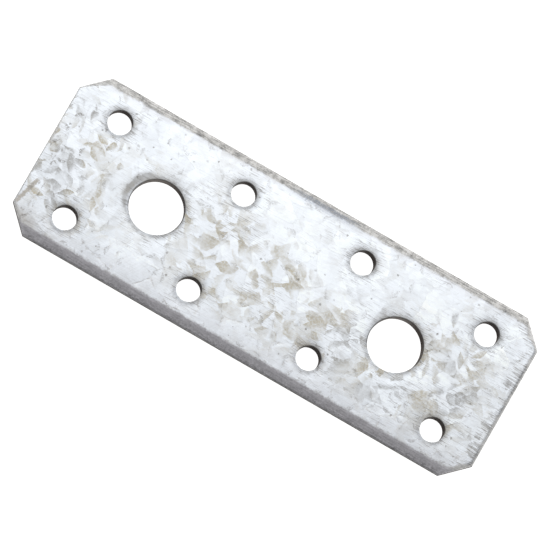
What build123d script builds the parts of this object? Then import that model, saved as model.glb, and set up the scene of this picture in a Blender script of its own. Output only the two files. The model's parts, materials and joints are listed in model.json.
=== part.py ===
from build123d import *
from math import atan2, degrees
import os

# Flat mending plate, slit, cropped and punched from zinc-coated steel strip. It is
# one piece of metal, and every edge is a sheared one: the blade draws a lip down at
# the top face, cuts a smooth band square, and tears the rest away to the underside.
# The origin is at the middle of the underside. +X runs along the plate, +Y across
# it, and +Z points out of the face that the nails and bolts enter. All lengths are
# in millimetres.

# Blank
plate_length = 100.0
plate_width = 35.0
plate_thickness = 2.5
corner_clip = 4.8  # leg of the 45 degree cut at each corner

# Lip along the two slit edges: a long gentle sweep, then a tight nose
slit_lip_width = 1.7  # how far the lip reaches in over the top face
slit_lip_drop = 0.7  # how far it falls below the top face
slit_nose_radius = 0.4  # where the lip turns down into the wall

# Lips along the other edges
crop_lip_radius = 0.4  # round lip along the cropped ends and corners
nail_hole_lip = 0.25  # bevelled lip of the nail holes
bolt_hole_lip_radius = 0.35  # round lip of the bolt holes

# Torn zone at the underside, the same along every edge and hole
tear_height = 1.0
tear_setback = 0.2  # how far the underside stands back from the smooth band

# Nail holes, eight of them in two rows along the plate
nail_hole_diameter = 4.7
nail_row_gauge = 21.2  # between the two rows, across the plate
nail_end_distance = 10.0  # from the plate's end to the nearest pair
nail_pitch = 27.0  # from that pair to the next one along

# Bolt holes, one on the centre line of each half
bolt_hole_diameter = 10.6
bolt_end_distance = 24.0  # from the plate's end to the bolt hole

half_length = plate_length / 2
half_width = plate_width / 2
outer_pair_x = half_length - nail_end_distance
inner_pair_x = outer_pair_x - nail_pitch
bolt_hole_x = half_length - bolt_end_distance

# The sweep starts level with the top face and meets the nose, which ends plumb with
# the wall. Its radius and angle follow from the lip's width and drop.
sweep_run = slit_lip_width - slit_nose_radius
sweep_radius = (sweep_run**2 + slit_lip_drop**2 - slit_nose_radius**2) / (
    2 * (slit_lip_drop - slit_nose_radius)
)
sweep_angle = degrees(atan2(sweep_run, sweep_radius - slit_lip_drop))


with BuildPart() as plate:
    # Strip: half its section, from the middle of the top face over the lip of one
    # slit edge to the middle of the underside, mirrored and carried along the plate.
    with BuildSketch(Plane.YZ.offset(-half_length)):
        with BuildLine():
            top = Line((0, plate_thickness), (half_width - slit_lip_width, plate_thickness))
            sweep_arc = JernArc(top @ 1, top % 1, sweep_radius, -sweep_angle)
            nose_arc = JernArc(sweep_arc @ 1, sweep_arc % 1, slit_nose_radius, sweep_angle - 90)
            Polyline(nose_arc @ 1, (half_width, 0), (0, 0))
            mirror(about=Plane.YZ)
        make_face()
    extrude(amount=plate_length)

    # Blank: the strip is cropped to length and its four corners are cut off.
    with BuildSketch(Plane.XY) as outline:
        Rectangle(plate_length, plate_width)
        chamfer(outline.vertices(), corner_clip)
    extrude(amount=plate_thickness, mode=Mode.INTERSECT)
    top_face = plate.faces().sort_by(Axis.Z)[-1]
    cropped_edges = top_face.edges().filter_by(Axis.X, reverse=True)
    fillet(cropped_edges, crop_lip_radius)

    # Nail holes, in pairs across the plate.
    with Locations((-outer_pair_x, 0), (-inner_pair_x, 0), (inner_pair_x, 0), (outer_pair_x, 0)):
        with GridLocations(0, nail_row_gauge, 1, 2):
            Hole(nail_hole_diameter / 2)
    nail_rims = plate.edges(Select.LAST).group_by(Axis.Z)[-1]
    chamfer(nail_rims, nail_hole_lip)

    # Bolt holes.
    with Locations((-bolt_hole_x, 0), (bolt_hole_x, 0)):
        Hole(bolt_hole_diameter / 2)
    bolt_rims = plate.edges(Select.LAST).group_by(Axis.Z)[-1]
    fillet(bolt_rims, bolt_hole_lip_radius)

    # Torn zone, round the whole outline and every hole.
    underside = plate.faces().sort_by(Axis.Z)[0]
    chamfer(underside.edges(), tear_setback, tear_height, reference=underside)

plate.part.label = "plate"

os.makedirs("parts", exist_ok=True)
export_step(plate.part, "parts/plate.step")
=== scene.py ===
"""Flat mending plate of spangled zinc-coated steel, on a pale studio stage.

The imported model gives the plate's box and its holes. The surface here is worked out
from them in millimetres and written to the mesh in metres.
"""

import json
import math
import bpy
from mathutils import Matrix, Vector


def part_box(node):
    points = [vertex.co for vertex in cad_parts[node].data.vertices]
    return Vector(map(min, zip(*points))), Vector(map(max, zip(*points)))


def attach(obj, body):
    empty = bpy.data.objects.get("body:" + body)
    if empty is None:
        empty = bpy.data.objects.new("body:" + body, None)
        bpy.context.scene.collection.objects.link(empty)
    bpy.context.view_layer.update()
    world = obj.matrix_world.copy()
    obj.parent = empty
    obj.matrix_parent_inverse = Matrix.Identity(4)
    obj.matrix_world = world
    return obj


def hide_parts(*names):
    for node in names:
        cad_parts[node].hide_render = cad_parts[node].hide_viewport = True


bl_info = {
    "name": "Mending Plate",
    "version": (1, 0, 0),
    "blender": (4, 5, 0),
    "location": "View3D > Sidebar > Plate",
    "description": "Builds a punched mending plate in spangled zinc and a pale studio stage",
    "category": "Add Mesh",
}

import bpy
import numpy as np
from bpy.props import FloatProperty, FloatVectorProperty, IntProperty, PointerProperty
from bpy.types import Operator, Panel, PropertyGroup
from mathutils import Matrix, Vector

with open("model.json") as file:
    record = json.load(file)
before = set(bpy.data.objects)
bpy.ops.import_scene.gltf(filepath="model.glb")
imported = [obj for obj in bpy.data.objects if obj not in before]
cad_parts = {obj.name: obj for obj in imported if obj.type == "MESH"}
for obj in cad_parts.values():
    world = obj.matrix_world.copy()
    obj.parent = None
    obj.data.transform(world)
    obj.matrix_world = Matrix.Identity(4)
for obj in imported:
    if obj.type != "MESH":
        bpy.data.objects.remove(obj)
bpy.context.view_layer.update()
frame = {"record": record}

MM = 0.001
TINY = 1e-6
NODE = "plate"
HALF_LENGTH, HALF_WIDTH, THICKNESS = (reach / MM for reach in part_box(NODE)[1])
COLOUR = {"subtype": "COLOR", "size": 3, "min": 0.0, "max": 1.0}


# ---------------------------------------------------------------- settings


class PlateSizes(PropertyGroup):
    """Sizes of the plate's edges. Its length, width, thickness and holes come from the frame."""

    corner_clip: FloatProperty(
        name="Corner clip",
        description="Leg of the 45 degree cut at each corner",
        default=4.8 * MM,
        unit="LENGTH",
    )
    slit_lip_width: FloatProperty(
        name="Slit lip width",
        description="How far the drawn lip of the long edges reaches in over the top face",
        default=1.7 * MM,
        unit="LENGTH",
    )
    slit_lip_drop: FloatProperty(
        name="Slit lip drop",
        description="How far that lip falls below the top face",
        default=0.7 * MM,
        unit="LENGTH",
    )
    slit_nose: FloatProperty(
        name="Slit nose",
        description="Radius where that lip turns down into the wall",
        default=0.4 * MM,
        unit="LENGTH",
    )
    slit_wander: FloatProperty(
        name="Slit wander",
        description="How far the width of that lip strays along the edge, as a blade leaves it",
        default=0.14 * MM,
        unit="LENGTH",
    )
    slit_dish: FloatProperty(
        name="Slit dish",
        description="Depth of the shallow hollow beside the long edges",
        default=0.06 * MM,
        unit="LENGTH",
    )
    crop_lip_width: FloatProperty(
        name="Crop lip width",
        description="Reach of the lip along the cropped ends and corners",
        default=0.8 * MM,
        unit="LENGTH",
    )
    crop_lip_drop: FloatProperty(
        name="Crop lip drop",
        description="Fall of the lip along the cropped ends and corners",
        default=0.35 * MM,
        unit="LENGTH",
    )
    crop_nose: FloatProperty(
        name="Crop nose",
        description="Radius where that lip turns down into the wall",
        default=0.2 * MM,
        unit="LENGTH",
    )
    light_end: FloatProperty(
        name="Light end",
        description="Size of the lip at the -X end, as a share of the lip at the +X end",
        default=0.45,
        min=0.1,
        max=1.0,
        subtype="FACTOR",
    )
    hole_lip_width: FloatProperty(
        name="Hole lip width",
        description="Reach of the lip that a punch draws down around a hole",
        default=0.24 * MM,
        unit="LENGTH",
    )
    hole_lip_drop: FloatProperty(
        name="Hole lip drop",
        description="Fall of the lip that a punch draws down around a hole",
        default=0.16 * MM,
        unit="LENGTH",
    )
    hole_nose: FloatProperty(
        name="Hole nose",
        description="Radius where that lip turns down into the hole's wall",
        default=0.1 * MM,
        unit="LENGTH",
    )
    hole_dish: FloatProperty(
        name="Hole dish",
        description="Depth of the shallow hollow round a hole",
        default=0.05 * MM,
        unit="LENGTH",
    )
    tear_height: FloatProperty(
        name="Tear height",
        description="Height of the torn zone above the underside",
        default=0.8 * MM,
        unit="LENGTH",
    )
    tear_setback: FloatProperty(
        name="Tear setback",
        description="How far the underside stands back from the smooth band",
        default=0.2 * MM,
        unit="LENGTH",
    )
    edge_bite: FloatProperty(
        name="Edge bite",
        description="Depth of the roughness in the torn zone round the outline",
        default=0.12 * MM,
        unit="LENGTH",
    )
    bore_bite: FloatProperty(
        name="Bore bite",
        description="Depth of the roughness in the torn zone of the holes",
        default=0.05 * MM,
        unit="LENGTH",
    )
    bore_flare: FloatProperty(
        name="Bore flare",
        description="Growth of the holes' radius at the top, where the punch went in",
        default=0.05 * MM,
        unit="LENGTH",
    )
    bore_setback: FloatProperty(
        name="Bore setback",
        description="How much wider a hole is at the underside, on each side",
        default=0.1 * MM,
        unit="LENGTH",
    )
    bore_lean: FloatProperty(
        name="Bore lean",
        description="Lean of the +X half's holes at the underside, towards the -X end",
        default=0.25 * MM,
        unit="LENGTH",
    )
    seed: IntProperty(
        name="Seed", description="Start of the random wander of lips and torn walls", default=11
    )


class ZincLook(PropertyGroup):
    """Colours of the zinc and of the bare steel in the walls."""

    bright: FloatVectorProperty(
        name="Bright zinc",
        description="Colour of a clean zinc crystal",
        default=(0.857, 0.9, 0.952),
        **COLOUR,
    )
    stain: FloatVectorProperty(
        name="Stained zinc",
        description="Colour of the dull brownish flakes",
        default=(0.48, 0.445, 0.385),
        **COLOUR,
    )
    halo: FloatVectorProperty(
        name="Drawn zinc",
        description="Colour of the dull zinc drawn in towards the holes",
        default=(0.5, 0.475, 0.435),
        **COLOUR,
    )
    streak: FloatVectorProperty(
        name="Streak",
        description="Colour of the dark streaks and pits",
        default=(0.22, 0.2, 0.18),
        **COLOUR,
    )
    bruise: FloatVectorProperty(
        name="Bruise",
        description="Colour of the bluish rubbed patch beside the +Y lip",
        default=(0.4, 0.44, 0.52),
        **COLOUR,
    )
    warm_stain: FloatVectorProperty(
        name="Warm stain",
        description="Colour of the flakes where they are brownest",
        default=(0.69, 0.555, 0.275),
        **COLOUR,
    )
    # The near lip colour is also laid as painted shade inside the slit lips.
    near_lip: FloatVectorProperty(
        name="Near lip",
        description="Colour of the dull lip along the -Y edge",
        default=(0.56, 0.55, 0.58),
        **COLOUR,
    )
    far_lip: FloatVectorProperty(
        name="Far lip",
        description="Colour of the dull lip along the +Y edge and the ends",
        default=(0.73, 0.72, 0.7),
        **COLOUR,
    )
    burnished: FloatVectorProperty(
        name="Burnished steel",
        description="Colour of the smooth band of the sheared edges",
        default=(0.22, 0.21, 0.2),
        **COLOUR,
    )
    torn: FloatVectorProperty(
        name="Torn steel",
        description="Colour of the torn zone of the sheared edges",
        default=(0.1, 0.09, 0.08),
        **COLOUR,
    )
    # The bore colour is also laid on the holes' lip noses as painted shade.
    bore: FloatVectorProperty(
        name="Bore steel",
        description="Colour of the holes' walls",
        default=(0.055, 0.045, 0.04),
        **COLOUR,
    )
    polished_bore: FloatVectorProperty(
        name="Polished bore",
        description="Colour of the hole walls on the side that the punch polished",
        default=(0.2, 0.18, 0.165),
        **COLOUR,
    )


class StageLook(PropertyGroup):
    """Camera, lights and floor."""

    tilt: FloatProperty(
        name="Tilt",
        description="Angle of the camera off the face's normal, towards the near long edge",
        default=math.radians(12.0),
        subtype="ANGLE",
    )
    roll: FloatProperty(
        name="Roll",
        description="Angle by which the plate's length runs down to the right in the picture",
        default=math.radians(30.0),
        subtype="ANGLE",
    )
    distance: FloatProperty(
        name="Distance",
        description="From the camera to the middle of the top face",
        default=2.2,
        unit="LENGTH",
    )
    view_width: FloatProperty(
        name="View width",
        description="Width of the picture at the top face",
        default=104.2 * MM,
        unit="LENGTH",
    )
    key_power: FloatProperty(
        name="Key power",
        description="Power of the large soft light behind the far edge",
        default=0.83,
        unit="POWER",
    )
    fill_power: FloatProperty(
        name="Fill power",
        description="Power of the low soft light behind the far right corner",
        default=0.9,
        unit="POWER",
    )
    sky: FloatProperty(
        name="Surround", description="Brightness of the pale surround", default=0.27
    )


# ---------------------------------------------------------------- plate shape


def frame_holes():
    """Centre and wall radius, in millimetres, of each hole that the record's mounts name."""
    holes = []
    for mount in frame["record"]["mounts"]:
        centre = np.array(mount["pos_m"][:2]) / MM
        dims = mount["dims"]
        if mount["kind"] == "bore":
            holes.append((centre, dims["r_mm"]))
        elif mount["kind"] == "bolt_pattern":
            reach = np.array([dims["spacing_x_mm"], dims["spacing_y_mm"]]) / 2
            for side in ((-1, -1), (1, -1), (-1, 1), (1, 1)):
                holes.append((centre + reach * side, dims["hole_r_mm"]))
    return holes


def wander(along, step, rng):
    """A smooth random line: random heights from -1 to 1 every step, joined by half cosines."""
    first = math.floor(along.min() / step) - 1
    count = math.ceil(along.max() / step) - first + 3
    knots = rng.uniform(-1.0, 1.0, count)
    place = along / step - first
    index = np.floor(place).astype(int)
    ease = 0.5 - 0.5 * np.cos(np.pi * (place - index))
    return knots[index] * (1 - ease) + knots[index + 1] * ease


def lip_fall(gap, width, drop, nose):
    """How far a drawn lip lies below the face, at a distance gap in from the wall.

    From the face the lip follows a long arc that starts level, and then the nose, a
    small arc that ends plumb. The long arc's radius makes the two arcs meet smoothly.
    """
    run = width - nose
    sweep = (run**2 + drop**2 - nose**2) / (2 * (drop - nose))
    join = sweep * run / np.hypot(run, sweep - drop)
    out = np.clip(width - gap, 0.0, width)
    long_arc = sweep - np.sqrt(np.maximum(sweep**2 - np.minimum(out, join) ** 2, 0.0))
    inner = np.clip(out - run, 0.0, nose)
    nose_arc = drop - np.sqrt(np.maximum(nose**2 - inner**2, 0.0))
    return np.where(out <= join, long_arc, nose_arc)


class Plan:
    """The plate's outline and holes seen from above, in millimetres, and the grid laid over them.

    The grid's lines run straight across the plate. Around each hole they close up into
    rings, and at each clipped corner they lean, so that rows and columns still number
    every point. The top face and the underside use the same rows and columns.
    """

    # Half side of the square of cells round a nail hole, and the cells in a square's half side.
    nail_half = 4.0
    nail_cells = 16
    bolt_cells = 20
    # Which ring of the square, counted from the middle, lies on the hole's wall.
    nail_ring = 8
    bolt_ring = 12
    # The rings next to the wall that are true circles, and how far out the last one lies.
    rim_rings = 4
    rim_reach = 0.34
    # Ring number of the points that no hole's square holds.
    no_ring = 10**6

    def __init__(self, sizes):
        self.clip = sizes.corner_clip / MM
        self.holes = frame_holes()
        self.bolt_radius = max(radius for _, radius in self.holes)
        nails = [centre for centre, radius in self.holes if radius < self.bolt_radius]
        bolts = [centre for centre, radius in self.holes if radius == self.bolt_radius]
        self.nail_x = sorted({round(abs(centre[0]), 6) for centre in nails})
        self.nail_y = abs(nails[0][1])
        self.bolt_x = abs(bolts[0][0])
        self.bolt_half = self.nail_y - self.nail_half

    def clip_leg(self, inset):
        """Leg of the corner's cut on an outline that is drawn in by inset all round."""
        return self.clip - inset * (2 - math.sqrt(2))

    def lines(self, inset):
        """Grid lines along and across, for the outline drawn in by inset.

        They are given from the middle out, as stretches that end at a place and have so
        many cells. The last stretch bunches up towards the edge.
        """
        clip = self.clip_leg(inset)
        half_length = HALF_LENGTH - inset
        half_width = HALF_WIDTH - inset
        inner, outer = self.nail_x
        along = (
            (inner - self.nail_half, 24),
            (inner + self.nail_half, 2 * self.nail_cells),
            (self.bolt_x - self.bolt_half, 6),
            (self.bolt_x + self.bolt_half, 2 * self.bolt_cells),
            (outer - self.nail_half, 8),
            (outer + self.nail_half, 2 * self.nail_cells),
            (half_length - clip, 3),
            (half_length, 18),
        )
        across = (
            (self.bolt_half, self.bolt_cells),
            (half_width - clip, 24),
            (self.nail_y + self.nail_half, 2 * self.nail_cells - 24),
            (half_width, 14),
        )
        return mirrored_lines(along), mirrored_lines(across)

    def grid(self, inset, grown, lean):
        """Points of the grid, shape (columns, rows, 2), and for each point its ring inside a hole.

        Rings around a hole start at its wall, on the radius plus grown. The first few, over
        the rim's reach, are true circles that lie closer together towards the wall. The rest
        follow straight lines, in widening steps, from the last circle to the square around the
        hole. A point's angle is an eighth of a turn for each half side of its ring. A hole's
        middle moves by 0.4 of lean towards -Y, and on the +X half by all of it towards -X.
        """
        xs, ys = self.lines(inset)
        points = np.stack(np.meshgrid(xs, ys, indexing="ij"), axis=-1)
        ring = np.full(points.shape[:2], self.no_ring)
        for centre, radius in self.holes:
            is_bolt = radius == self.bolt_radius
            cells = self.bolt_cells if is_bolt else self.nail_cells
            first = self.bolt_ring if is_bolt else self.nail_ring
            last = first + self.rim_rings
            half = self.bolt_half if is_bolt else self.nail_half
            column = np.searchsorted(xs, centre[0] - half - TINY) + cells
            row = np.searchsorted(ys, centre[1] - half - TINY) + cells
            span = np.arange(-cells, cells + 1)
            across, up = np.meshgrid(span, span, indexing="ij")
            steps = np.maximum(np.maximum(abs(across), abs(up)), 1)
            angle = square_angle(across, up)
            middle = centre - lean * np.array([float(centre[0] > 0), 0.4])
            rim = np.clip((steps - first) / self.rim_rings, 0.0, 1.0)[..., None] ** 1.3 * self.rim_reach
            circle = middle + (radius + grown + rim) * np.stack([np.cos(angle), np.sin(angle)], axis=-1)
            border_x = np.interp(column + across * cells / steps, np.arange(len(xs)), xs)
            border_y = np.interp(row + up * cells / steps, np.arange(len(ys)), ys)
            border = np.stack([border_x, border_y], axis=-1)
            share = np.clip((steps - last) / (cells - last), 0.0, 1.0)[..., None] ** 1.2
            window = (slice(column - cells, column + cells + 1), slice(row - cells, row + cells + 1))
            points[window] = circle * (1 - share) + border * share
            ring[window] = np.where(steps < cells, steps - first, self.no_ring)
        clip = self.clip_leg(inset)
        corner = (abs(points) - (np.array([HALF_LENGTH, HALF_WIDTH]) - inset - clip)) / clip
        corner = np.clip(corner, 0.0, 1.0)
        points -= np.sign(points) * (corner[..., 0] * corner[..., 1])[..., None] * clip / 2
        return points, ring

    def gaps(self, points):
        """Distance in from the slit edges, from the cropped ends and corners, and from the holes."""
        x, y = abs(points[..., 0]), abs(points[..., 1])
        slit = HALF_WIDTH - y
        corner = (HALF_LENGTH + HALF_WIDTH - self.clip - x - y) / math.sqrt(2)
        crop = np.minimum(HALF_LENGTH - x, corner)
        hole = np.min(self.reaches(points), axis=0)
        return np.maximum(slit, 0), np.maximum(crop, 0), np.maximum(hole, 0)

    def reaches(self, points):
        """Distance out from each hole's wall, one row for each hole."""
        away = [points[..., :2] - centre for centre, _ in self.holes]
        radii = [radius for _, radius in self.holes]
        return np.array([np.hypot(out[..., 0], out[..., 1]) - radius for out, radius in zip(away, radii)])

    def headings(self, points):
        """Unit direction, along and across, from the middle of the nearest hole."""
        middles = np.array([centre for centre, _ in self.holes])
        away = points[..., :2] - middles[np.argmin(self.reaches(points), axis=0)]
        return away / np.maximum(np.linalg.norm(away, axis=-1), TINY)[..., None]


def mirrored_lines(stretches):
    """Lines from the middle outwards through (end, cells) stretches, the last bunched at its end."""
    lines = [np.zeros(1)]
    start = 0.0
    for place, (end, cells) in enumerate(stretches):
        share = np.arange(1, cells + 1) / cells
        if place == len(stretches) - 1:
            share = 1 - (1 - share) ** 1.7
        lines.append(start + (end - start) * share)
        start = end
    half = np.concatenate(lines)
    return np.concatenate([-half[:0:-1], half])


def square_angle(across, up):
    """Angle given to a grid point around a hole: even steps along each side of its square ring."""
    wide = abs(across) >= abs(up)
    safe_across = np.where(across == 0, 1, across)
    safe_up = np.where(up == 0, 1, up)
    sideways = np.pi / 4 * up / safe_across + np.where(across < 0, np.pi, 0.0)
    upwards = np.pi / 2 - np.pi / 4 * across / safe_up + np.where(up < 0, np.pi, 0.0)
    return np.where(wide, sideways, upwards)


def outline_loop(numbers):
    """Point numbers round the grid's border, anticlockwise from above."""
    return np.concatenate([numbers[:-1, 0], numbers[-1, :-1], numbers[:0:-1, -1], numbers[0, :0:-1]])


def hole_loops(plan, points, numbers, ring):
    """Point numbers round each hole, anticlockwise from above."""
    loops = []
    for centre, radius in plan.holes:
        away = points[..., :2] - centre
        near = (ring == 0) & (np.hypot(away[..., 0], away[..., 1]) < radius * 1.5)
        order = np.argsort(np.arctan2(away[near][:, 1], away[near][:, 0]))
        loops.append(numbers[near][order])
    return loops


def face_quads(numbers, ring):
    """Cells of the grid that are not inside a hole, anticlockwise from above."""
    corners = np.stack([numbers[:-1, :-1], numbers[1:, :-1], numbers[1:, 1:], numbers[:-1, 1:]], axis=-1)
    rings = np.stack([ring[:-1, :-1], ring[1:, :-1], ring[1:, 1:], ring[:-1, 1:]], axis=-1)
    return corners[rings.max(axis=-1) > 0]


def wall_rows(tear, top, under, rng, bite):
    """Rows of points, shape (rows, loop, 3), from a loop of the top face to the underside's.

    The profile goes straight down from the lip to the height tear, then leans from the
    smooth band to the underside's loop over the torn zone. There each row also wanders in
    by up to bite, and most of all halfway down the zone.
    """
    smooth_share = np.array([0.04, 0.5, 0.96])
    torn_share = np.array([0.06, 0.3, 0.6, 0.88])
    bite_step = 0.45
    side = np.linalg.norm(np.roll(top, -1, axis=0) - top, axis=1)
    along = np.concatenate([[0.0], np.cumsum(side)[:-1]])
    foot = np.concatenate([top[:, :2], np.full((len(top), 1), tear)], axis=1)
    smooth = top + (foot - top) * smooth_share[:, None, None]
    torn = foot + (under - foot) * torn_share[:, None, None]
    inward = under[:, :2] - top[:, :2]
    inward /= np.maximum(np.linalg.norm(inward, axis=1), TINY)[:, None]
    bites = np.array([wander(along, bite_step, rng) for _ in torn_share])
    bites = bite * (0.5 + 0.5 * bites) * np.sqrt(np.sin(np.pi * torn_share))[:, None]
    torn[..., :2] += inward * bites[..., None]
    return np.concatenate([smooth, torn])


def loft(rows, inside):
    """Quads between closed rows of point numbers, facing out of the metal."""
    ahead = np.roll(rows, -1, axis=1)
    quads = np.stack([rows[:-1], rows[1:], ahead[1:], ahead[:-1]], axis=-1).reshape(-1, 4)
    return quads[:, ::-1] if inside else quads


def top_height(plan, sizes, over, rng):
    """Height of the top face: lips at all edges, a shallow dish beside them, and wandering widths.

    It is the thickness less two falls. One joins the lips of the slit and cropped edges,
    and one joins the holes' lips and the dish, each as the long side of a right triangle.
    """
    slit, crop, hole = plan.gaps(over)
    along = over[..., 0]
    is_far = over[..., 1] > 0
    # Long waves with short ones of half their height, and a narrower lip on the +Y edge.
    far = wander(along, 3.1, rng) + 0.5 * wander(along, 0.9, rng)
    near = wander(along, 2.6, rng) + 0.5 * wander(along, 0.8, rng)
    far_bias, near_bias = -0.15, 0.12
    slit_width = sizes.slit_lip_width / MM + np.where(is_far, far_bias, near_bias)
    slit_width = slit_width + sizes.slit_wander / MM * np.where(is_far, far, near)
    slit_fall = lip_fall(slit, slit_width, sizes.slit_lip_drop / MM, sizes.slit_nose / MM)
    light = np.where(along > 0, 1.0, sizes.light_end)
    crop_width = sizes.crop_lip_width / MM
    crop_fall = light * lip_fall(crop / light, crop_width, sizes.crop_lip_drop / MM, sizes.crop_nose / MM)
    hole_fall = lip_fall(hole, sizes.hole_lip_width / MM, sizes.hole_lip_drop / MM, sizes.hole_nose / MM)
    hole_dish_reach, slit_dish_reach = 1.3, 2.4
    hole_dish = sizes.hole_dish / MM * np.exp(-((hole / hole_dish_reach) ** 2))
    slit_dish = sizes.slit_dish / MM * np.exp(-((slit / slit_dish_reach) ** 2))
    return THICKNESS - np.hypot(slit_fall, crop_fall) - np.hypot(hole_fall, hole_dish + slit_dish)


def plate_surface(sizes):
    """Vertices in millimetres, quads, each quad's material and the marks of each vertex.

    Two grids, for the top face and the underside, are joined by a wall round the outline
    and one round each hole. Points inside the holes are left out at the end.
    """
    rng = np.random.default_rng(sizes.seed)
    plan = Plan(sizes)
    over, ring = plan.grid(0.0, sizes.bore_flare / MM, 0.0)
    under, _ = plan.grid(sizes.tear_setback / MM, sizes.bore_setback / MM, sizes.bore_lean / MM)
    numbers = np.arange(ring.size).reshape(ring.shape)
    count = numbers.size
    over = np.concatenate([over, top_height(plan, sizes, over, rng)[..., None]], axis=-1).reshape(-1, 3)
    under = np.concatenate([under, np.zeros(ring.shape)[..., None]], axis=-1).reshape(-1, 3)

    points = [over, under]
    bore = [np.zeros(2 * count)]
    top_quads = face_quads(numbers, ring)
    quads = [top_quads, (top_quads + count)[:, ::-1]]
    loops = [outline_loop(numbers)] + hole_loops(plan, over[numbers], numbers, ring)
    made = 2 * count
    for place, loop in enumerate(loops):
        is_bore = place > 0
        bite = (sizes.bore_bite if is_bore else sizes.edge_bite) / MM
        rows = wall_rows(sizes.tear_height / MM, over[loop], under[loop], rng, bite)
        row_numbers = np.arange(rows.shape[0] * len(loop)).reshape(rows.shape[0], -1) + made
        made += row_numbers.size
        points.append(rows.reshape(-1, 3))
        bore.append(np.full(row_numbers.size, float(is_bore)))
        quads.append(loft(np.vstack([loop, row_numbers, loop + count]), is_bore))
    wall = np.concatenate([np.full(len(part), float(place > 1)) for place, part in enumerate(quads)])
    points, quads = np.concatenate(points), np.concatenate(quads)
    used, quads = np.unique(quads, return_inverse=True)
    points, bore = points[used], np.concatenate(bore)[used]
    marks = dict(zip(("slit_gap", "crop_gap", "hole_gap"), plan.gaps(points)))
    marks["hole_x"], marks["hole_y"] = plan.headings(points).T
    marks["bore"] = bore
    return points, quads.reshape(-1, 4), wall, marks


def new_mesh(name, points, quads, parts=None, marks=None):
    """A smooth mesh object at the origin, from points in millimetres.

    Parts are material numbers, one for each quad. Marks are numbers for each vertex, under
    names that materials can read.
    """
    mesh = bpy.data.meshes.new(name)
    mesh.vertices.add(len(points))
    mesh.vertices.foreach_set("co", (points * MM).astype(np.float32).ravel())
    mesh.loops.add(quads.size)
    mesh.loops.foreach_set("vertex_index", quads.astype(np.int32).ravel())
    mesh.polygons.add(len(quads))
    mesh.polygons.foreach_set("loop_start", np.arange(0, quads.size, 4, dtype=np.int32))
    if parts is not None:
        mesh.polygons.foreach_set("material_index", parts.astype(np.int32))
    mesh.update(calc_edges=True)
    mesh.shade_smooth()
    mesh.set_sharp_from_angle(angle=math.radians(40))
    for mark, values in (marks or {}).items():
        layer = mesh.attributes.new(mark, "FLOAT", "POINT")
        layer.data.foreach_set("value", values.astype(np.float32))
    piece = bpy.data.objects.new(name, mesh)
    bpy.context.scene.collection.objects.link(piece)
    return piece


# ---------------------------------------------------------------- materials


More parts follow.
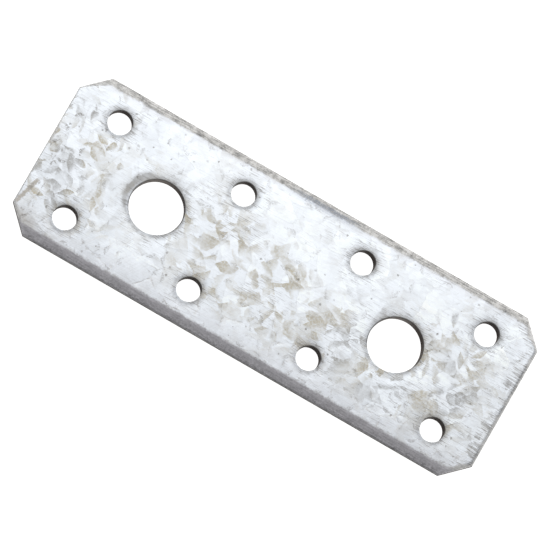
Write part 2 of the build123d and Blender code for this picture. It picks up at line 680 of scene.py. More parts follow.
class Nodes:
    """Short calls for building one material's nodes. Values are numbers, colours or sockets."""

    def __init__(self, name):
        self.material = bpy.data.materials.new(name)
        self.material.use_nodes = True
        self.tree = self.material.node_tree
        self.tree.nodes.clear()

    def put(self, kind, inputs=None, **settings):
        made = self.tree.nodes.new("ShaderNode" + kind)
        for key, value in settings.items():
            setattr(made, key, value)
        for key, value in (inputs or {}).items():
            if isinstance(value, bpy.types.NodeSocket):
                self.tree.links.new(value, made.inputs[key])
            elif value is not None:
                made.inputs[key].default_value = value
        return made

    def math(self, operation, a, b=None):
        return self.put("Math", {0: a, 1: b}, operation=operation).outputs[0]

    def carried(self, operation, values):
        """One operation carried through the values from left to right."""
        result = values[0]
        for value in values[1:]:
            result = self.math(operation, result, value)
        return result

    def add(self, *terms):
        return self.carried("ADD", terms)

    def times(self, *factors):
        return self.carried("MULTIPLY", factors)

    def most(self, *values):
        return self.carried("MAXIMUM", values)

    def less(self, a, b):
        return self.math("SUBTRACT", a, b)

    def off(self, value, middle=0.0):
        """How far a value lies from middle, to either side."""
        return self.math("ABSOLUTE", self.less(value, middle))

    def vector(self, operation, a, b=None, output=0):
        return self.put("VectorMath", {0: a, 1: b}, operation=operation).outputs[output]

    def dot(self, a, b):
        return self.vector("DOT_PRODUCT", a, b, "Value")

    def distance(self, a, b):
        return self.vector("LENGTH", self.vector("SUBTRACT", a, b), output="Value")

    def scaled(self, a, factor):
        return self.put("VectorMath", {0: a, "Scale": factor}, operation="SCALE").outputs[0]

    def joined(self, x, y=0.0, z=0.0):
        return self.put("CombineXYZ", {0: x, 1: y, 2: z}).outputs[0]

    def heading(self, draw):
        """A unit vector along the plate's face, turned by a random draw from 0 to 1 turns."""
        turn = self.times(draw, 2 * math.pi)
        return self.joined(self.math("COSINE", turn), self.math("SINE", turn))

    def ramp(self, value, low, high, out_low=0.0, out_high=1.0):
        """A smooth step: out_low up to low, out_high from high on."""
        inputs = {"Value": value, 1: low, 2: high, 3: out_low, 4: out_high}
        return self.put("MapRange", inputs, interpolation_type="SMOOTHSTEP").outputs[0]

    def mix(self, factor, a, b):
        return self.put("Mix", {0: factor, 2: a, 3: b}, data_type="FLOAT").outputs[0]

    def blend(self, factor, a, b, blend_type="MIX"):
        inputs = {0: factor, 6: a, 7: b}
        return self.put("Mix", inputs, data_type="RGBA", blend_type=blend_type).outputs[2]

    def lifted(self, colour, lift):
        """A colour made brighter or darker by a factor."""
        return self.vector("MULTIPLY", colour, self.joined(lift, lift, lift))

    def noise(self, vector, scale, detail=2.0, roughness=0.5):
        inputs = {"Vector": vector, "Scale": scale, "Detail": detail, "Roughness": roughness}
        return self.put("TexNoise", inputs).outputs[0]

    def patches(self, vector, grain, low, high, out_low=0.0, out_high=1.0):
        """Soft-edged patches: a noise, whose grain is scale, detail and roughness, sent up a ramp."""
        return self.ramp(self.noise(vector, *grain), low, high, out_low, out_high)

    def swing(self, reach, vector, scale, detail=2.0, roughness=0.5):
        """A noise that swings about zero, by up to about half of reach."""
        return self.times(self.less(self.noise(vector, scale, detail, roughness), 0.5), reach)

    def warped(self, vector, scale, reach, detail=1.0):
        """The coordinates pushed about by a colour noise, by up to about half of reach."""
        inputs = {"Vector": vector, "Scale": scale, "Detail": detail}
        push = self.put("TexNoise", inputs).outputs["Color"]
        push = self.vector("SUBTRACT", push, (0.5, 0.5, 0.5))
        return self.vector("ADD", vector, self.scaled(push, reach))

    def stretched(self, vector, along, across, turn=0.0):
        """The coordinates turned, then scaled by along and across."""
        inputs = {"Vector": vector, "Scale": (1 / along, 1 / across, 1.0), "Rotation": (0.0, 0.0, turn)}
        return self.put("Mapping", inputs, vector_type="TEXTURE").outputs[0]

    def cells(self, vector, scale, feature="F1"):
        inputs = {"Vector": vector, "Scale": scale, "Randomness": 1.0}
        return self.put("TexVoronoi", inputs, voronoi_dimensions="2D", feature=feature)

    def draws(self, cell):
        """Three random numbers for each cell, from 0 to 1."""
        return self.put("SeparateColor", {0: cell.outputs["Color"]}).outputs

    def mosaic(self, place, scale):
        """Random draws for each cell of a mosaic, and the place counted from the cell's middle."""
        cell = self.cells(place, scale)
        return self.draws(cell), self.vector("SUBTRACT", place, cell.outputs["Position"])

    def attribute(self, name):
        return self.put("Attribute", attribute_name=name).outputs["Fac"]

    def position(self):
        """Object coordinates in millimetres."""
        return self.scaled(self.put("TexCoord").outputs["Object"], 1 / MM)

    def finished(self, inputs):
        """The material, with one principled shader that takes the inputs."""
        shader = self.put("BsdfPrincipled", inputs)
        self.put("OutputMaterial", {0: shader.outputs[0]})
        return self.material


def rgba(colour):
    """A colour property as the four numbers that a socket takes."""
    return tuple(colour) + (1.0,)


def bolt_row(n, y):
    """1 in the strip along the middle that holds the bolt holes, 0 out where the nail holes are."""
    half_width = 6.7
    return n.math("LESS_THAN", n.off(y), half_width)


class Places:
    """What the layers of the zinc share: coordinates, edge distances, regions and hair lines.

    Coordinates and distances are in millimetres. A region is about 1 inside and 0 outside,
    with a soft border. hole_x and hole_y are the unit direction out from the middle of the
    nearest hole. Slant is their sum, lowest on the hole's -X -Y side, which faces the lights
    and where the layers paint light.
    """

    def __init__(self, n):
        self.x, self.y, height = n.put("SeparateXYZ", {0: n.position()}).outputs
        # The underside shows another part of the same pattern.
        under = n.math("LESS_THAN", height, THICKNESS / 2)
        self.flat = n.joined(n.add(self.x, n.times(under, 31.0)), n.add(self.y, n.times(under, 17.0)))
        self.slit, self.crop, self.hole = (n.attribute(edge + "_gap") for edge in ("slit", "crop", "hole"))
        self.hole_x, self.hole_y = n.attribute("hole_x"), n.attribute("hole_y")
        self.slant = n.add(self.hole_x, self.hole_y)
        # The -X -Y side of each hole, which faces the lights: the layers paint light and shade by it.
        self.lit_hole_side = n.ramp(self.slant, -0.9, 0.1, 1.0, 0.0)
        self.is_bolt = bolt_row(n, self.y)

        # Regions: the -Y half, the strip inside its lip, the -X end, the +X half, the flakes round
        # the +X nail holes, and the -X half's bolt hole with its wide ring.
        self.near = n.math("LESS_THAN", self.y, 0.0)
        self.strip = n.ramp(self.y, -11.0, -7.0, 1.0, 0.12)
        self.left = n.ramp(self.x, -32.0, -26.0, 1.0, 0.0)
        self.right = n.ramp(self.x, 0.0, 30.0)
        self.right_side = n.ramp(n.off(self.x, 38.0), 4.0, 10.0, 0.9, 0.0)
        self.wide_side = n.ramp(n.distance(self.flat, (-31.5, 1.5, 0.0)), 2.5, 6.0, 1.0, 0.0)

        # Hair lines along the plate, which also fray the borders of other marks.
        self.hair = n.noise(n.stretched(n.warped(self.flat, 0.3, 0.5), 0.34, 5.2), 1.0, 3.0, 0.65)
        self.hair_line = n.ramp(self.hair, 0.54, 0.65)
        self.fray = n.less(self.hair, 0.5)
        self.edge_wave = n.swing(1.3, self.flat, 0.45, 3.0)


def flakes(n, place, per_mm, offset, length, width, bend, share, faded=0.25):
    """Shard-shaped flakes, one in some of the cells of a random mosaic.

    In its cell a flake has a random heading. With u along the heading and v across it,
    the shard is where |v + bend u u| / width + |u / length| to the power 1.3 is under 1.
    It is strongest along one edge and weakens to faded at the other.
    """
    draws, inside = n.mosaic(n.vector("ADD", place, offset), per_mm)
    turn = n.times(draws[0], 2 * math.pi)
    cosine, sine = n.math("COSINE", turn), n.math("SINE", turn)
    u = n.dot(inside, n.joined(cosine, sine))
    v = n.dot(inside, n.joined(n.times(sine, -1.0), cosine))
    v = n.add(v, n.times(u, u, bend))
    reach = n.math("POWER", n.times(n.off(u), 1 / length), 1.3)
    shard = n.ramp(n.add(n.times(n.off(v), 1 / width), reach), 0.88, 1.04, 1.0, 0.0)
    fade = n.ramp(v, -width, 0.5 * width, faded, 1.0)
    strength = n.ramp(draws[1], 1 - share, 1 - share / 3)
    return n.times(shard, fade, strength)


def facets(n, place, along, across, turn, offset, share):
    """Angular flakes: some of the cells of a stretched mosaic, each fading towards one side."""
    moved = n.stretched(n.vector("ADD", place, offset), along, across, turn)
    draws, inside = n.mosaic(moved, 1.0)
    slope = n.dot(inside, n.heading(draws[0]))
    return n.times(n.ramp(slope, -0.6, 0.25, 0.3, 1.0), n.ramp(draws[1], 0.98 - share, 1.02 - share))


def crystals(n, at):
    """Tone, slope and veins of the zinc's crystals.

    The crystals are the cells of a warped mosaic. Each has its own tone and slopes its own
    way, and grey veins run between some, most of all in the -Y strip. Beside the veins
    there, light and shade are painted, lighter on one side and darker on the other, as on
    raised borders.
    """
    bent = n.warped(n.warped(at.flat, 0.11, 6.0), 0.9, 0.7)
    draws, inside = n.mosaic(bent, 0.19)
    slope = n.dot(inside, n.heading(draws[0]))
    border = n.cells(bent, 0.19, "DISTANCE_TO_EDGE").outputs["Distance"]
    broken = n.patches(at.flat, (0.8, 3.0, 0.6), 0.48, 0.56)
    vein = n.times(n.ramp(border, 0.008, n.mix(at.strip, 0.035, 0.06), 1.0, 0.0), broken)
    # Painted light and shade beside the veins, by the crystal's slope, as on raised borders.
    beside = n.times(n.ramp(slope, -0.8, 0.8, -0.16, 0.12), n.ramp(border, 0.03, 0.13, 1.0, 0.0))
    tone = n.add(
        n.times(n.less(draws[2], 0.5), 0.075),
        n.times(n.ramp(slope, -2.0, 2.5), 0.06),
        n.times(beside, broken, n.mix(at.strip, 0.0, 0.8)),
    )
    return tone, slope, vein


def streaks(n, at):
    """Fine dark streaks along the plate, thickest where it was rubbed: the ends and the holes."""
    long_hair = n.ramp(n.noise(n.stretched(at.flat, 0.16, 3.1, 0.03), 1.0, 2.0, 0.5), 0.62, 0.7)
    rubbed = n.most(
        n.times(n.ramp(n.add(at.x, n.swing(12.0, at.flat, 0.2)), 42.0, 50.0), 0.9),
        n.ramp(n.add(at.hole, n.swing(4.0, at.flat, 0.25)), 0.6, 3.8, 0.8, 0.0),
        n.times(n.patches(at.flat, (0.085, 1.0, 0.5), 0.5, 0.64), 0.6),
        n.ramp(at.x, -49.0, -43.0, 0.35, 0.0),
    )
    rubbed = n.times(rubbed, n.mix(at.wide_side, 1.0, 0.5))
    short = n.times(at.hair_line, n.add(rubbed, 0.14))
    return n.most(short, n.times(long_hair, n.add(n.times(rubbed, 0.6), 0.14)))


def drifts(n, at):
    """How thickly the stained flakes lie: along the middle of the plate, in drifts."""
    middle = n.ramp(n.off(at.y, -2.2), 4.5, 12.0, 1.0, 0.16)
    drift = n.patches(at.flat, (0.05, 1.0, 0.5), 0.36, 0.58, 0.3, 1.0)
    centre = n.ramp(n.off(at.x, -5.0), 8.0, 16.0, 0.95, 0.0)
    return n.times(middle, n.most(drift, centre, at.right_side))


def stained_flakes(n, at):
    """Stained flakes, and the faint fine facets between them.

    Angular flakes lie where two mosaics meet, with shards and chips among them, and clear
    flakes take some of the stain away again. Leaves are added at the plate's ends.
    """
    torn = n.warped(n.warped(at.flat, 0.16, 3.0), 1.6, 0.3, 2.0)
    coarse = facets(n, torn, 0.28, 0.5, 0.9, (3.7, 9.1, 0.0), 0.68)
    crossed = facets(n, torn, 0.26, 0.46, -0.5, (17.3, 5.2, 0.0), 0.72)
    fine = facets(n, torn, 0.5, 0.95, 0.2, (61.0, 13.0, 0.0), 0.6)
    shards = flakes(n, torn, 0.25, (41.9, 23.0, 0.0), 3.6, 0.6, 0.06, 0.7)
    chips = flakes(n, torn, 0.4, (17.3, 5.2, 0.0), 2.2, 0.85, -0.08, 0.7)
    clear = flakes(n, torn, 0.3, (81.0, 37.0, 0.0), 3.4, 0.9, 0.05, 0.6, 1.0)
    angular = n.times(coarse, crossed, n.mix(at.left, 1.2, 0.45))
    stain = n.most(angular, n.times(n.most(chips, shards), n.mix(at.left, 0.85, 1.2)))
    stain = n.times(stain, n.mix(clear, 1.0, 0.1), drifts(n, at))

    leaf = flakes(n, n.warped(at.flat, 1.5, 0.45, 3.0), 0.32, (5.0, 71.0, 0.0), 1.8, 0.72, 0.07, 0.85, 0.4)
    ends = n.most(n.ramp(at.x, -38.0, -32.0, 1.0, 0.0), n.times(at.right_side, 0.9))
    leaf = n.times(leaf, ends, n.ramp(n.off(at.y), 9.0, 13.0, 1.0, 0.3), 1.2)

    mottle = n.patches(at.flat, (2.4, 5.0, 0.8), 0.36, 0.58, 0.3, 1.0)
    stain = n.times(n.most(stain, leaf), mottle, n.mix(at.hair_line, 1.05, 0.7))
    fine = n.times(fine, n.ramp(crossed, 0.0, 1.0, 0.04, 0.14), n.mix(at.left, 1.0, 0.4))
    return stain, fine


def warmth(n, at):
    """Where the stain is brown: in patches, most of all in the middle of the plate."""
    centre = n.ramp(n.off(at.x, -6.0), 8.0, 20.0, 0.23, 0.0)
    likely = n.most(centre, n.times(at.left, 0.04), n.times(at.right_side, 0.06))
    return n.ramp(n.add(n.noise(at.flat, 0.12, 1.0), likely), 0.42, 0.6)


def smudges(n, at):
    """Small dark marks with torn rims, thickest at the -X end and along the -Y strip."""
    torn = n.warped(at.flat, 2.0, 0.45, 3.0)
    large = flakes(n, torn, 0.3, (7.7, 61.0, 0.0), 1.15, 0.48, 0.2, 0.72)
    small = flakes(n, torn, 0.5, (31.0, 11.0, 0.0), 0.7, 0.25, -0.2, 0.5)
    broken = n.patches(at.flat, (3.0, 4.0, 0.75), 0.4, 0.56)
    thick = n.most(n.ramp(at.x, -46.0, -38.0, 1.8, 0.8), n.ramp(at.y, -10.0, -6.0, 1.15, 0.8))
    return n.times(n.most(large, n.times(small, 0.7)), broken, thick)


def specks(n, at):
    """Round pits of mixed size and darkness, one in a quarter of the cells of a fine mosaic."""
    cell = n.cells(n.warped(at.flat, 3.0, 0.5, 2.0), 0.5)
    draws = n.draws(cell)
    radius = n.ramp(draws[0], 0.72, 1.0, 0.0, 0.11)
    disc = n.ramp(n.less(cell.outputs["Distance"], radius), -0.03, 0.03, 1.0, 0.0)
    return n.times(disc, n.math("GREATER_THAN", draws[0], 0.74), n.mix(draws[1], 0.15, 0.85))


def drawn_ring(n, at):
    """The dull zinc drawn in round each hole, wider at the -X half's bolt hole."""
    frayed = n.add(n.times(at.fray, 1.4), n.swing(1.2, at.flat, 1.6, 3.0, 0.7))
    gap = n.less(n.add(at.hole, frayed), n.times(at.wide_side, 1.1))
    ring = n.add(n.ramp(gap, 0.4, 0.65, 0.5, 0.0), n.ramp(gap, 0.3, 1.5, 0.5, 0.0))
    return n.times(ring, n.patches(at.flat, (0.5, 1.0, 0.5), 0.3, 0.6, 0.6, 1.0))


def hole_teeth(n, at):
    """Dark teeth that run out of each hole's rim along the hair lines."""
    reach = n.patches(at.flat, (0.4, 1.0, 0.5), 0.3, 0.65, 0.6, 1.7)
    teeth = n.ramp(n.math("DIVIDE", at.hole, reach), 0.5, 1.0, 0.85, 0.0)
    # The teeth are weaker on the lit -X -Y side of each hole, as painted light, and round the -X half's
    # bolt hole.
    return n.times(teeth, n.ramp(at.hair, 0.5, 0.57), n.mix(n.most(at.lit_hole_side, at.wide_side), 1.0, 0.4))


def hole_nose(n, at):
    """Painted shade on the nose of each hole's lip, in the bore's colour, weakest on the lit side."""
    # On the lit side of the bolt holes the painted shade reaches further out, as a shadow line; none is
    # painted on the -Y side.
    rim = n.mix(n.times(at.is_bolt, at.lit_hole_side), 0.24, 0.36)
    nose = n.ramp(n.add(at.hole, n.times(at.fray, 0.15)), 0.16, rim, 1.0, 0.0)
    side = n.mix(at.is_bolt, n.ramp(at.hole_y, -0.1, 0.5), n.ramp(at.hole_y, -0.8, -0.2))
    nail_share = n.ramp(at.slant, 0.0, 1.2, 0.3, 0.85)
    bolt_share = n.ramp(at.slant, 0.2, 1.2, 0.66, 0.85)
    return n.times(nose, side, n.mix(at.is_bolt, nail_share, bolt_share))


def worn_corner(n, at):
    """A brownish worn corner beside the -X -Y clip."""
    gap = n.add(n.distance(at.flat, (-47.4, -17.4, 0.0)), n.times(at.fray, 5.0))
    broken = n.patches(at.flat, (1.8, 4.0, 0.7), 0.36, 0.56, 0.5, 1.0)
    return n.times(n.ramp(gap, 2.5, 5.5, 1.0, 0.0), broken)


def end_line(n, at):
    """A short dull line inside the -X end, from the -Y clip inwards, a little off square."""
    start = n.vector("SUBTRACT", at.flat, (-49.6, -12.5, 0.0))
    along = n.dot(start, (0.28, 0.96, 0.0))
    across = n.add(n.dot(start, (0.96, -0.28, 0.0)), n.times(at.fray, 1.2))
    stretch = n.times(n.ramp(along, 5.5, 6.6, 1.0, 0.0), n.ramp(along, -0.5, 0.3))
    broken = n.patches(at.flat, (1.6, 4.0, 0.7), 0.34, 0.5, 0.65, 1.0)
    return n.times(n.ramp(n.off(across), 0.25, 0.5, 1.0, 0.0), stretch, broken)


def end_comb(n, at):
    """Dark comb marks that run in from the +X end, each as far as its own tooth."""
    tooth = n.noise(n.joined(n.times(at.x, 0.3), n.times(at.y, 4.2)), 1.0, 1.0)
    reach = n.times(n.ramp(tooth, 0.42, 0.6), n.patches(at.flat, (0.22, 2.0, 0.5), 0.38, 0.6, 0.0, 2.6))
    comb = n.ramp(n.less(at.crop, reach), 0.0, 0.35, 1.0, 0.0)
    return n.times(comb, at.right, n.patches(at.flat, (1.3, 2.0, 0.5), 0.35, 0.6, 0.5, 1.0))


def bruise_patch(n, at):
    """A rubbed patch beside the middle of the +Y lip."""
    along = n.ramp(n.off(at.x, 2.0), 3.5, 9.0, 1.0, 0.0)
    inner = n.ramp(n.add(at.slit, n.times(at.fray, 2.6)), 1.3, 2.6, 1.0, 0.0)
    outer = n.ramp(at.slit, 0.6, 0.9)
    broken = n.patches(at.flat, (2.8, 5.0, 0.8), 0.38, 0.56, 0.15, 1.0)
    return n.times(along, inner, outer, n.math("GREATER_THAN", at.y, 0.0), broken)


def slit_lips(n, at):
    """The dull lips of the slit edges, a painted highlight along the crest inside the -Y one, and painted
    shade beside them.

    The line inside each lip is ragged. The lip of the -Y edge is the wider one.
    """
    gap = n.add(at.slit, n.times(at.edge_wave, 0.5), n.times(at.fray, 0.6))
    inset = n.less(gap, n.mix(at.near, 1.5, 1.9))
    frayed = n.add(inset, n.swing(1.2, at.flat, 2.2, 4.0, 0.7))
    lip = n.ramp(frayed, -0.25, 0.3, 1.0, 0.0)
    # Painted highlight along the crest where the -Y lip starts to fall, in broken stretches.
    crest_glint = n.ramp(n.off(frayed, 0.55), 0.05, 0.35, 0.12, 0.0)
    crest_glint = n.times(crest_glint, at.near, n.patches(at.flat, (0.4, 2.0, 0.5), 0.46, 0.54))
    # Painted shade inside each lip; along the -Y edge it reaches 5.5 mm in and also stands for the duller
    # zinc there.
    shade = n.times(n.ramp(inset, 0.0, n.mix(at.near, 1.8, 5.5), 1.0, 0.0), n.mix(at.near, 0.26, 0.22))
    return lip, crest_glint, shade


def end_lips(n, at):
    """The dull lips of the cropped ends: patchy at the -X end, even and wider at the +X end."""
    gap = n.add(at.crop, n.times(at.edge_wave, n.mix(at.right, 0.5, 1.2)), n.times(at.fray, 0.8))
    patches = n.patches(at.flat, (0.16, 1.0, 0.5), 0.46, 0.6, 0.14, 0.5)
    left_width = n.add(n.ramp(at.y, 12.5, 17.0, 0.0, 1.1), patches)
    right_width = n.ramp(n.off(at.y), 12.5, 14.5, 0.5, 0.85)
    inset = n.less(gap, n.mix(at.right, left_width, right_width))
    return n.ramp(inset, -0.25, 0.25, 1.0, 0.0)


def lip_metal(n, at, look, end_lip):
    """Colour of the dull lips: streaked along the edge, patchy, specked, and dark at the very edge."""
    outer = n.times(at.near, n.ramp(at.slit, 1.6, 2.8, 1.0, 0.0))
    colour = n.blend(outer, rgba(look.far_lip), rgba(look.near_lip))
    line = n.noise(n.stretched(n.joined(at.x, at.slit), 0.3, 4.0), 1.0, 4.0, 0.75)
    speckle = n.mix(at.near, 1.2, n.ramp(at.slit, 0.3, 1.3, 1.8, 0.8))
    lift = n.add(
        n.ramp(line, 0.3, 0.7, n.mix(at.near, 0.66, 0.85), n.mix(at.near, 1.48, 1.2)),
        n.swing(n.mix(at.near, 1.7, 0.45), at.flat, 0.6, 3.0, 0.6),
        n.swing(speckle, at.flat, 2.4, 4.0, 0.85),
    )
    fleck = n.ramp(n.noise(n.stretched(at.flat, 0.8, 2.2), 1.0, 3.0, 0.7), 0.56, 0.64)
    flecked = n.mix(n.times(fleck, at.near, n.ramp(at.slit, 0.2, 1.0, 1.0, 0.1)), 1.0, 0.6)
    dark_edge = n.ramp(at.slit, 0.0, 0.4, n.mix(at.near, 0.85, 0.4), 1.0)
    # The end lips are lifted by 15 percent: painted light against the shade of their fall.
    return n.lifted(colour, n.add(n.times(lift, flecked, dark_edge), n.times(end_lip, 0.15)))


def zinc_material(look):
    """Spangled zinc: crystals, stained flakes, rings round holes, streaks, pits and dull lips."""
    n = Nodes("Zinc-coated steel")
    at = Places(n)
    tone, slope, vein = crystals(n, at)
    stain, fine = stained_flakes(n, at)
    pits = specks(n, at)
    ring = drawn_ring(n, at)
    lip, crest_glint, shade = slit_lips(n, at)
    end_lip = end_lips(n, at)
    dull = n.most(lip, n.times(end_lip, 0.8))

    # Painted highlight on the lit -X -Y side of each hole's rim, within about 0.6 mm of the wall.
    rim_highlight = n.times(at.lit_hole_side, n.ramp(at.hole, 0.1, 0.6, 1.0, 0.0), n.mix(at.is_bolt, 1.0, 0.5))
    lift = n.add(
        1.025,
        n.ramp(at.x, -34.0, -28.0, -0.04, 0.0),
        # Painted light: the +Y side, towards the key light, is 3 percent lighter.
        n.ramp(at.y, 5.0, 9.0, 0.0, 0.03),
        tone,
        n.swing(0.2, at.flat, 3.6, 5.0, 0.8),
        n.swing(n.times(at.strip, 0.2), n.stretched(at.flat, 0.5, 3.4, 1.0), 1.0, 3.0, 0.6),
        # Painted highlight along the crest of the -Y lip.
        crest_glint,
        n.times(at.strip, -0.015),
        # The painted highlight on the holes' lit rims.
        n.times(rim_highlight, 0.17),
    )
    colour = n.lifted(tuple(look.bright), lift)

    # The layers over the clean zinc, from the lowest up: how strong each is, and its colour.
    # Painted light: near the wall, the drawn ring is mostly taken away on the lit -X -Y side.
    lit_ring_zone = n.times(at.lit_hole_side, n.ramp(at.hole, 0.3, 0.9, 1.0, 0.0))
    ring_share = n.times(ring, n.mix(at.wide_side, 0.36, 0.62), n.mix(lit_ring_zone, 1.0, 0.15))
    layers = (
        (n.times(stain, 0.46), n.blend(warmth(n, at), rgba(look.stain), rgba(look.warm_stain))),
        (fine, rgba(look.halo)),
        (n.times(vein, n.mix(at.strip, 0.02, 0.3)), rgba(look.stain)),
        (ring_share, rgba(look.halo)),
        (n.most(n.times(hole_teeth(n, at), 0.3), n.times(end_comb(n, at), 0.54)), rgba(look.streak)),
        (n.most(end_line(n, at), n.times(worn_corner(n, at), 0.8)), rgba(look.halo)),
        (n.times(streaks(n, at), 0.7), rgba(look.streak)),
        (n.times(n.most(pits, n.times(smudges(n, at), 0.6)), 0.8), rgba(look.streak)),
        # Painted shade on the nose of the holes' lips.
        (hole_nose(n, at), rgba(look.bore)),
        # Painted shade inside the slit lips, partly duller zinc along the -Y edge.
        (shade, rgba(look.near_lip)),
        (dull, lip_metal(n, at, look, end_lip)),
        (n.times(bruise_patch(n, at), 0.8), rgba(look.bruise)),
    )
    for share, over in layers:
        colour = n.blend(share, colour, over)

    rough = n.add(n.mix(n.most(stain, ring, dull), 0.36, 0.6), n.swing(0.1, at.flat, 1.1, 3.0))
    hole_edge = n.times(n.ramp(at.hole, 0.25, 0.5, 1.0, 0.0), n.ramp(at.slant, -0.2, 0.8))
    metallic = n.mix(n.most(dull, hole_edge, n.times(ring, 0.5)), 0.9, 0.35)
    relief = n.add(
        n.times(at.hair, 0.6),
        n.times(n.noise(at.flat, 1.4, 4.0, 0.6), 0.7),
        n.times(n.most(pits, n.times(vein, at.strip, 0.3)), -1.5),
        n.times(slope, 0.3),
    )
    bump = n.put("Bump", {"Height": relief, "Distance": 0.02 * MM, "Strength": 0.6})
    return n.finished(
        {
            "Base Color": colour,
            "Roughness": rough,
            "Metallic": n.times(metallic, n.ramp(at.slit, 0.1, 0.5)),
            "Specular IOR Level": 0.3,
            "Normal": bump.outputs[0],
        }
    )


def sheared_material(look, tear_height):
    """Bare sheared steel: burnished upright lines above, granular torn metal below.

    The hole walls are darker, with a lighter side where the punch polished them.
    """
    n = Nodes("Sheared steel")
    place = n.position()
    _, y, height = n.put("SeparateXYZ", {0: place}).outputs
    grains = n.noise(place, 3.0, 4.0, 0.7)
    lines = n.noise(n.stretched(place, 4.0, 4.0), 1.0, 2.0)
    ragged = n.add(height, n.times(n.less(grains, 0.5), 0.8))
    torn = n.ramp(ragged, tear_height + 0.05, tear_height + 0.35, 1.0, 0.0)
    colour = n.blend(torn, rgba(look.burnished), rgba(look.torn))
    colour = n.blend(n.ramp(grains, 0.4, 0.6, 0.0, 0.75), colour, rgba(look.torn), "MULTIPLY")

    side = n.attribute("hole_x")
    polished = n.mix(bolt_row(n, y), n.ramp(side, -0.7, -0.1, 0.6, 0.0), n.ramp(side, -0.5, 0.6, 1.0, 0.0))
    polished = n.most(polished, n.ramp(side, 0.8, 1.0, 0.0, 0.5))
    bore_metal = n.blend(polished, rgba(look.bore), rgba(look.polished_bore))
    colour = n.blend(n.attribute("bore"), colour, bore_metal)

    relief = n.add(n.times(grains, n.mix(torn, 0.3, 1.0)), n.times(lines, 0.3))
    bump = n.put("Bump", {"Height": relief, "Distance": 0.05 * MM, "Strength": 0.7})
    return n.finished(
        {
            "Base Color": colour,
            "Roughness": 0.85,
            "Metallic": 0.0,
            "Specular IOR Level": 0.08,
            "Normal": bump.outputs[0],
        }
    )


def floor_material():
    """Pale matt floor that glows enough to stay even under soft light."""
    n = Nodes("Pale floor")
    cloud = n.ramp(n.noise(n.put("TexCoord").outputs["Object"], 3.0), 0.3, 0.7, 0.68, 0.72)
    return n.finished(
        {
            "Base Color": n.joined(cloud, cloud, cloud),
            "Roughness": 0.9,
            "Emission Color": (1.0, 1.0, 1.0, 1.0),
            "Emission Strength": 1.0,
        }
    )


# ---------------------------------------------------------------- operators


class MENDING_OT_plate(Operator):
    """Makes the plate as one closed surface in spangled zinc, in place of the plain CAD node"""

    bl_idname = "mending.plate"
    bl_label = "Plate"

    def execute(self, context):
        sizes = context.scene.plate_sizes
        look = context.scene.zinc_look
        piece = new_mesh("mending_plate", *plate_surface(sizes))
        piece.data.materials.append(zinc_material(look))
        piece.data.materials.append(sheared_material(look, sizes.tear_height / MM))
        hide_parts(NODE)
        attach(piece, "root")
        return {"FINISHED"}


def aimed(place, target, right=None):
    """A matrix at place whose -Z axis points at target, with its X axis along right."""
    back = (Vector(place) - Vector(target)).normalized()
    right = Vector(right or (1, 0, 0))
    right = (right - back * right.dot(back)).normalized()
    up = back.cross(right)
    matrix = Matrix((right, up, back)).transposed().to_4x4()
    matrix.translation = place
    return matrix


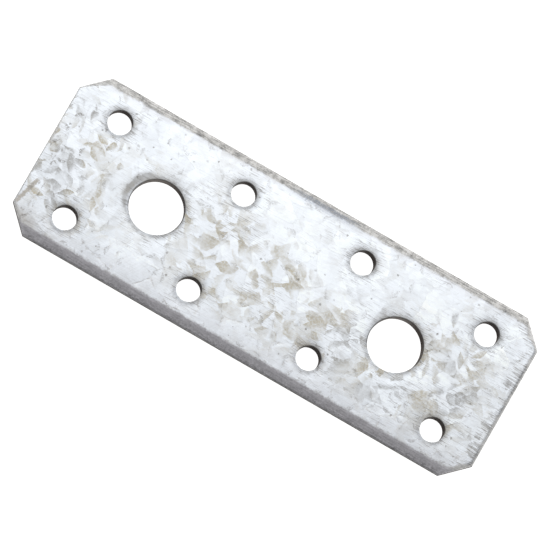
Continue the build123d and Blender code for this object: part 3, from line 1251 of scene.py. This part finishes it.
class MENDING_OT_stage(Operator):
    """Lays the pale floor, hangs the soft lights and sets the camera over the plate"""

    bl_idname = "mending.stage"
    bl_label = "Stage"

    def execute(self, context):
        look = context.scene.stage_look
        scene = context.scene
        scene.view_settings.view_transform = "Standard"
        self.floor()
        self.surround(scene, look)
        self.lights(scene, look)
        self.camera(scene, look)
        return {"FINISHED"}

    def floor(self):
        """A square of 3 m, a hair's breadth below the plate."""
        half_side, gap = 1500.0, 0.02
        side = np.linspace(-half_side, half_side, 5)
        xs, ys = np.meshgrid(side, side, indexing="ij")
        points = np.stack([xs, ys, np.full_like(xs, -gap)], axis=-1).reshape(-1, 3)
        numbers = np.arange(xs.size).reshape(xs.shape)
        floor = new_mesh("floor", points, face_quads(numbers, np.ones_like(numbers)))
        floor.data.materials.append(floor_material())

    def surround(self, scene, look):
        """The even pale light that the zinc reflects from all sides."""
        world = bpy.data.worlds.new("Pale surround")
        world.use_nodes = True
        back = world.node_tree.nodes["Background"]
        back.inputs["Color"].default_value = (1.0, 1.0, 1.0, 1.0)
        back.inputs["Strength"].default_value = look.sky
        scene.world = world

    def lights(self, scene, look):
        """Two large soft panels behind the plate: size, place and the point that each is aimed at."""
        panels = (
            ("Key", look.key_power, (0.5, 0.4), (-0.12, 0.245, 0.42), (-0.12, 0.245, 0.0)),
            ("Fill", look.fill_power, (0.5, 0.2), (0.4, 0.5, 0.14), (0.0, 0.0, 0.0)),
        )
        for name, power, (wide, high), place, target in panels:
            lamp = bpy.data.lights.new(name, "AREA")
            lamp.shape = "RECTANGLE"
            lamp.size, lamp.size_y = wide, high
            lamp.energy = power
            panel = bpy.data.objects.new(name, lamp)
            panel.matrix_world = aimed(place, target)
            panel.visible_camera = False
            scene.collection.objects.link(panel)

    def camera(self, scene, look):
        """A long lens over the top face, tilted off its normal and rolled about it."""
        middle = Vector((0.0, 0.0, THICKNESS * MM))
        across = Vector((0.0, math.cos(look.tilt), math.sin(look.tilt)))
        back = Vector((0.0, -math.sin(look.tilt), math.cos(look.tilt)))
        right = Vector((1, 0, 0)) * math.cos(look.roll) + across * math.sin(look.roll)
        lens = bpy.data.cameras.new("Camera")
        lens.sensor_width = 36.0
        lens.lens = lens.sensor_width * look.distance / look.view_width
        lens.clip_start = 0.01
        lens.clip_end = 20.0
        camera = bpy.data.objects.new("Camera", lens)
        camera.matrix_world = aimed(middle + back * look.distance, middle, right)
        scene.collection.objects.link(camera)
        scene.camera = camera


class MENDING_PT_panel(Panel):
    """Lists the plate's sizes, finish and stage"""

    bl_idname = "MENDING_PT_panel"
    bl_label = "Mending Plate"
    bl_space_type = "VIEW_3D"
    bl_region_type = "UI"
    bl_category = "Plate"

    def draw(self, context):
        for group, operator in (
            ("plate_sizes", "mending.plate"),
            ("zinc_look", None),
            ("stage_look", "mending.stage"),
        ):
            box = self.layout.box()
            settings = getattr(context.scene, group)
            for name in settings.__annotations__:
                box.prop(settings, name)
            if operator:
                box.operator(operator)


CLASSES = (
    PlateSizes,
    ZincLook,
    StageLook,
    MENDING_OT_plate,
    MENDING_OT_stage,
    MENDING_PT_panel,
)


def register():
    for made in CLASSES:
        bpy.utils.register_class(made)
    bpy.types.Scene.plate_sizes = PointerProperty(type=PlateSizes)
    bpy.types.Scene.zinc_look = PointerProperty(type=ZincLook)
    bpy.types.Scene.stage_look = PointerProperty(type=StageLook)


def unregister():
    del bpy.types.Scene.stage_look
    del bpy.types.Scene.zinc_look
    del bpy.types.Scene.plate_sizes
    for made in reversed(CLASSES):
        bpy.utils.unregister_class(made)


def main():
    """Makes the plate and the stage."""
    register()
    bpy.ops.mending.plate()
    bpy.ops.mending.stage()


if __name__ == "__main__":
    main()
